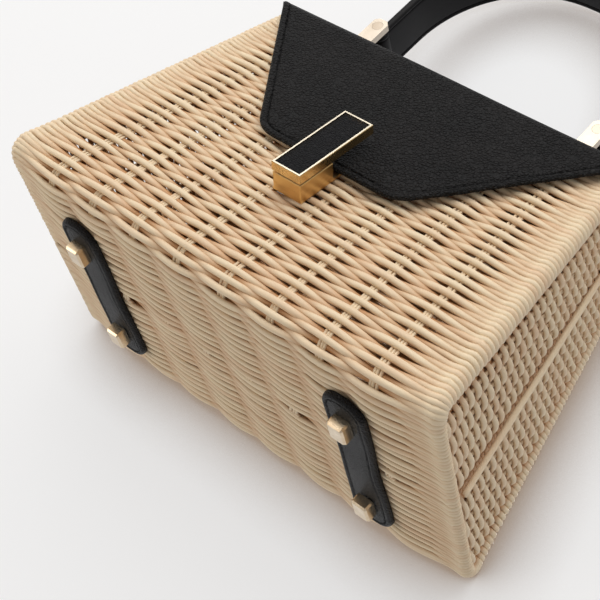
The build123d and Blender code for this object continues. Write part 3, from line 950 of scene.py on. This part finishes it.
# The clasp: a solid gold-plated block on a plate, and a long bar that turns on it. The bar's face
# is framed by a thin polished rim round a strip of grained leather, and its sides are brushed.
def plated(name, deep, bright, rim, rough, brush):
    """Gold plate with fine brushed lines along one direction. Faces that look out of the front panel are
    polished, and painted paler there as a highlight.
    """
    material, start, sockets = finish(name, deep[:3], metallic=1.0, roughness=rough)
    place = start.on_piece()
    facing = start.node("ShaderNodeTexCoord", {}, {}, 1)
    lines = start.noise(place.scaled(brush), 1.0, 3.0, 0.6)
    cloud = start.noise(place, 70.0, 2.0)
    body = (lines * 0.5 + cloud * 0.6 - 0.05).clamped().blend(deep, bright)
    # Faces that look out of the front panel: polished, and painted a paler gold as a highlight.
    polished_and_highlit = ((facing.dot((0, -cos_lean, sin_lean)) - 0.8) * 8.0).clamped()
    feed(polished_and_highlit.blend(body, rim), sockets["Base Color"])
    brushed = (lines * 0.18 + cloud * 0.08) * (1 - polished_and_highlit)
    feed(brushed + polished_and_highlit * 0.22 + (rough - 0.12), sockets["Roughness"])
    feed(start.bump(lines * (1 - polished_and_highlit), 0.06, 0.0001), sockets["Normal"])
    return material


BAR_DEEP = (0.62, 0.38, 0.13, 1)
BAR_BRIGHT = (0.90, 0.66, 0.34, 1)
# The pale rim colour is a painted highlight on the bar's polished face.
BAR_RIM_HIGHLIGHT = (1.0, 0.90, 0.72, 1)
BLOCK_DEEP = (0.60, 0.36, 0.12, 1)
BLOCK_BRIGHT = (0.88, 0.60, 0.27, 1)
# The pale colour is a painted highlight on the block's polished face.
BLOCK_FACE_HIGHLIGHT = (0.9, 0.66, 0.36, 1)
bar_look = plated("bar_gold", BAR_DEEP, BAR_BRIGHT, BAR_RIM_HIGHLIGHT, 0.24, (900, 160, 160))
block_look = plated("block_gold", BLOCK_DEEP, BLOCK_BRIGHT, BLOCK_FACE_HIGHLIGHT, 0.30, (120, 700, 120))
dress("clasp_bar", bar_look)
for name in ("clasp_block", "clasp_pivot", "clasp_base_plate"):
    dress(name, block_look)

# The inlay: a strip of the flap's hide let into the bar's face, with its edges turned down against
# the polished rim. It turns with the bar.
inlay_look = leather("inlay_hide", (0.003, 0.003, 0.004, 1), (0.010, 0.010, 0.012, 1), 900.0, 0.9, 0.42)
CLASP_FOOT = 0.0655
INLAY_TOP = 0.01625
INLAY_T = 0.001
INLAY_HALF = 0.00784
INLAY_LONG = 0.04918
INLAY_LOW = CLASP_FOOT + 0.00116
INLAY_TURNED = 0.0009
INLAY_EDGE_DROP = 0.00035
inlay_edge = NEAR_EDGE[:9]
inlay_middle = np.linspace(-0.004, 0.004, 9)
inlay_across = np.concatenate([-INLAY_HALF + inlay_edge, inlay_middle, (INLAY_HALF - inlay_edge)[::-1]])
inlay_plain = np.linspace(0.0045, INLAY_LONG - 0.0045, 30)
inlay_up = np.concatenate([inlay_edge, inlay_plain, (INLAY_LONG - inlay_edge)[::-1]])
inlay_points = []
for up in inlay_up:
    inward = np.minimum(np.minimum(INLAY_HALF - abs(inlay_across), up), INLAY_LONG - up)
    turned = np.clip(1 - inward / INLAY_TURNED, 0, 1)
    puff = 0.00012 * np.clip(inward / 0.003, 0, 1)
    lift = INLAY_TOP - INLAY_EDGE_DROP * (1 - np.sqrt(1 - turned**2)) + puff
    upper = np.stack([inlay_across, *front_point(INLAY_LOW + up, lift)], -1)
    under = np.full(len(inlay_across) - 2, INLAY_TOP - INLAY_T)
    lower = np.stack([inlay_across[1:-1][::-1], *front_point(INLAY_LOW + up, under)], -1)
    inlay_points.append(np.concatenate([upper, lower]))


def capped(rows, around):
    """Faces of a form made of closed loops, with each end closed by quads across the loop."""
    faces = loops_to_faces(rows, around)
    width = around // 2 + 1
    for end in (0, (rows - 1) * around):
        upper = [end + k for k in range(width)]
        lower = [end] + [end + around - k for k in range(1, width - 1)] + [end + width - 1]
        faces += [(upper[k], upper[k + 1], lower[k + 1], lower[k]) for k in range(1, width - 2)]
        faces += [(upper[0], upper[1], lower[1]), (upper[-2], upper[-1], lower[-2])]
    return faces


inlay_faces = capped(len(inlay_up), len(inlay_points[0]))
inlay = welded("inlay_strip", np.concatenate(inlay_points), inlay_faces, inlay_look, "clasp")
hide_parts("clasp_inlay")


# The handle: two layers of fine hide over a stiff core, domed on both sides, with a rolled bead
# along each edge and a seam inside it. Each end is folded into a loop round the link's pin.
PIN_X = 0.073
PIN_LEVEL = 0.217
HANDLE_MIDDLE = MIDDLE_Y - 0.005
ARC_R = 0.070
LEG_TOP = 0.246
BAND_SEAM = 0.0031
BAND_HALF_T = 0.0020
LOOP_R = 0.0030
LOOP_HOLE_R = 0.0026
SEAM_LIFT = 0.00175
handle_look = smooth_hide("handle_hide", (0.0045, 0.004, 0.0045, 1), (0.011, 0.010, 0.011, 1), 0.5)
arch = [(-PIN_X, z) for z in np.linspace(PIN_LEVEL, LEG_TOP, 22)[:-1]]
arch_out = [(-1.0, 0.0)] * 21
for turn in np.linspace(0, math.pi / 2, 64):
    arch.append((-0.003 - ARC_R * math.cos(turn), LEG_TOP + ARC_R * math.sin(turn)))
    arch_out.append((-math.cos(turn), math.sin(turn)))
arch = np.array(arch + [(-x, z) for x, z in arch[::-1]])
arch_out = np.array(arch_out + [(-x, z) for x, z in arch_out[::-1]])


def band_half_width(x):
    """Half the band's width by how far out it is: widest at the pins, narrow in the hand."""
    return 0.012 + 0.003 * np.clip((abs(x) - 0.030) / 0.045, 0, 1) ** 2


def band_thick(inward):
    """Half the band's thickness at a distance from its edge."""
    roll, bead, groove = sewn_edge(inward, BAND_SEAM, 0.0018, 0.0003, 0.0004, 0.00042)
    dome = 0.00045 * np.clip((inward - BAND_SEAM) / 0.007, 0, 1) ** 0.7
    return BAND_HALF_T + roll + bead + groove + dome


BAND_EDGE = np.array([0, 0.08, 0.25, 0.5, 0.85, 1.3, 1.8, 2.3, 2.65, 2.9, 3.1, 3.3, 3.6, 4.2, 5.2, 6.6, 8.6])
BAND_EDGE = BAND_EDGE / 1000


def band_section(x):
    """Places across the band from one edge to the other, and half its thickness at each."""
    half = float(band_half_width(x))
    inward = np.concatenate([BAND_EDGE, [half], BAND_EDGE[::-1]])
    across = np.concatenate([-half + BAND_EDGE, [0], half - BAND_EDGE[::-1]])
    return across, band_thick(inward)


band_points = []
for place, out in zip(arch, arch_out):
    across, thick = band_section(place[0])
    outer = np.concatenate([thick, -thick[1:-1][::-1]])
    wide = HANDLE_MIDDLE + np.concatenate([across, across[1:-1][::-1]])
    band_points.append(np.stack([place[0] + out[0] * outer, wide, place[1] + out[1] * outer], -1))
band_faces = capped(len(arch), len(band_points[0]))
handle = welded("handle_hide_band", np.concatenate(band_points), band_faces, handle_look)
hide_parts("handle_band")
for hand, name in ((-1, "left"), (1, "right")):
    loop_points = []
    across, thick = band_section(PIN_X)
    hole = np.linspace(across[-1] - 0.0012, across[0] + 0.0012, len(across) - 2)
    wide = HANDLE_MIDDLE + np.concatenate([across, hole])
    radius = np.concatenate([LOOP_R + thick, [LOOP_HOLE_R] * len(hole)])
    for turn in np.linspace(0, 2 * math.pi, 48, endpoint=False):
        ring_x = hand * PIN_X + radius * math.cos(turn)
        ring_z = PIN_LEVEL + radius * math.sin(turn)
        loop_points.append(np.stack([ring_x, wide, ring_z], -1))
    loop_points.append(loop_points[0])
    loop_faces = loops_to_faces(len(loop_points), len(loop_points[0]))
    loop = welded(f"handle_loop_{name}", np.concatenate(loop_points), loop_faces, handle_look)
    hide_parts("handle_band")
for edge, edge_name in ((-1, "front"), (1, "back")):
    for face, face_name in ((-1, "under"), (1, "over")):
        lift = face * SEAM_LIFT
        seam_x = arch[:, 0] + arch_out[:, 0] * lift
        seam_y = HANDLE_MIDDLE + edge * (band_half_width(arch[:, 0]) - BAND_SEAM)
        seam = np.stack([seam_x, seam_y, arch[:, 1] + arch_out[:, 1] * lift], -1)
        seam_out = np.stack([arch_out[:, 0] * face, np.zeros(len(arch)), arch_out[:, 1] * face], -1)
        sewn = stitches(f"handle_thread_{edge_name}_{face_name}", seam, seam_out, black_thread)


# The links: forked blocks of pale satin gold on the flap, each with a pin right through the
# handle's loop whose flush round heads show in the cheeks.
def champagne(name, deep, bright, rough):
    """Pale satin gold with soft clouds."""
    material, start, sockets = finish(name, deep[:3], metallic=1.0, roughness=rough)
    place = start.on_piece()
    cloud = start.noise(place, 110.0, 3.0)
    speck = start.noise(place, 1500.0, 2.0)
    feed((cloud * 1.4 - 0.2).clamped().blend(deep, bright), sockets["Base Color"])
    feed(cloud * 0.14 + speck * 0.1 + (rough - 0.1), sockets["Roughness"])
    feed(start.bump(speck, 0.05, 0.0001), sockets["Normal"])
    return material


link_look = champagne("link_gold", (0.52, 0.44, 0.35, 1), (0.72, 0.65, 0.56, 1), 0.42)
pin_look = champagne("pin_gold", (0.42, 0.34, 0.26, 1), (0.60, 0.52, 0.43, 1), 0.36)
steel_look = champagne("zinc_steel", (0.42, 0.41, 0.40, 1), (0.60, 0.59, 0.58, 1), 0.40)
for name in ("left", "right"):
    dress(f"handle_link_{name}", link_look)
    dress(f"handle_pin_{name}", pin_look)
    dress(f"link_plate_{name}", steel_look)
    dress(f"link_screws_{name}", steel_look)
for name in ("clasp_inner_plate", "clasp_screw_lower", "clasp_screw_upper"):
    dress(name, steel_look)


# The base straps: padded leather strips over the joint of the halves, a little narrower between
# the feet, with a thick rolled edge, a seam inside it and a soft crown.
STRAP_X = 0.088
STRAP_SEAM = 0.0032
strap_look = leather("strap_hide", (0.004, 0.0036, 0.004, 1), (0.012, 0.0105, 0.011, 1), 900.0, 0.7, 0.38)
strap_low, strap_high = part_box("base_strap_right")
STRAP_HALF_W = (strap_high.x - strap_low.x) / 2
STRAP_HALF_L = (strap_high.y - strap_low.y) / 2
STRAP_T = strap_high.z - strap_low.z
STRAP_CORNER = 0.0105
WAIST = 0.0013
STRAP_CROWN_IN = 0.0052
STRAP_PRESSED_IN = 0.0003


def strap_half_width(along):
    """Half a strap's width at a place along it: round corners, and a waist between the feet."""
    left = np.clip(STRAP_HALF_L - abs(along), 0, STRAP_CORNER)
    corner = STRAP_CORNER - np.sqrt(left * (2 * STRAP_CORNER - left))
    waist = WAIST * np.exp(-((along / 0.020) ** 2))
    return STRAP_HALF_W - corner - waist - 0.0004 * (abs(along) / STRAP_HALF_L) ** 4


strap_turn = np.radians(np.arange(0, 90, 2.0))
strap_ends = STRAP_CORNER * (1 - np.cos(strap_turn))
strap_along = np.concatenate([strap_ends, np.arange(STRAP_CORNER, STRAP_HALF_L, 0.001)]) - STRAP_HALF_L
strap_along = np.concatenate([strap_along, -strap_along[::-1]])
strap_side = np.stack([strap_half_width(strap_along), strap_along], -1)
strap_outline = np.concatenate([strap_side, strap_side[::-1] * [-1, 1], strap_side[:1]])
outline_run = run_along(strap_outline)
even_run = np.linspace(0, outline_run[-1], 340, endpoint=False)
strap_outline = at_run(even_run, outline_run, strap_outline)
strap_step = unit(np.roll(strap_outline, -1, axis=0) - np.roll(strap_outline, 1, axis=0))
strap_inside = np.stack([-strap_step[:, 1], strap_step[:, 0]], -1)
strap_spine = np.stack([0 * even_run, np.clip(strap_outline[:, 1], -0.042, 0.042)], -1)
strap_seam = strap_outline + strap_inside * STRAP_SEAM
strap_seam = np.concatenate([strap_seam, strap_seam[:1]])


def strap_height(inward, along):
    """A strap's height over the weave."""
    roll, bead, groove = sewn_edge(inward, STRAP_SEAM, 0.0021, 0.0002, 0.00055, 0.0005)
    crown = 0.0003 * np.clip((inward - STRAP_SEAM) / 0.005, 0, 1)
    settle = 0.0002 * np.sin(along * 130 + 0.6)
    return STRAP_T - 0.0006 + roll + bead + groove + crown + settle


def strap_loop(flat, inward):
    """A closed loop of a strap's outer face, at one distance from the edge."""
    return np.column_stack([flat, strap_height(np.full(len(flat), inward), flat[:, 1])])


strap_loops = []
for share in (1.0, 0.5, 0.0):
    flat = strap_outline * (1 - share) + strap_spine * share
    strap_loops.append(np.column_stack([flat, np.full(len(flat), -STRAP_PRESSED_IN)]))
for inward in (*NEAR_EDGE[:14], STRAP_CROWN_IN):
    strap_loops.append(strap_loop(strap_outline + strap_inside * inward, inward))
crown_edge = strap_loops[-1][:, :2]
for share in (0.35, 0.7, 1.0):
    strap_loops.append(strap_loop(crown_edge * (1 - share) + strap_spine * share, 0.0085))
strap_faces = loops_to_faces(len(strap_loops), len(strap_outline))
seam_height = strap_height(np.full(len(strap_seam), STRAP_SEAM), strap_seam[:, 1])
for hand, name in ((-1, "left"), (1, "right")):
    strap_points = np.array(strap_loops)
    strap_points[..., 0] += hand * STRAP_X
    strap_points[..., 1] += MIDDLE_Y
    strap_points[..., 2] = strap_high.z - strap_points[..., 2]
    strap = welded(f"base_strap_hide_{name}", strap_points.reshape(-1, 3), strap_faces, strap_look)
    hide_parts(f"base_strap_{name}")
    seam_low = strap_high.z - seam_height - 0.0001
    seam = np.stack([hand * STRAP_X + strap_seam[:, 0], MIDDLE_Y + strap_seam[:, 1], seam_low], -1)
    down = np.tile([0, 0, -1.0], (len(seam), 1))
    sewn = stitches(f"base_strap_thread_{name}", seam, down, black_thread)


# The feet: faceted studs of pale gold, one near each end of both straps. Each is screwed up through
# its strap and the weave into a washer inside.
foot_look = champagne("foot_gold", (0.62, 0.46, 0.29, 1), (0.92, 0.79, 0.60, 1), 0.20)
for name in ("front_left", "front_right", "back_left", "back_right"):
    dress(f"foot_{name}", foot_look)
    dress(f"foot_screw_{name}", steel_look)
    dress(f"foot_washer_{name}", steel_look)
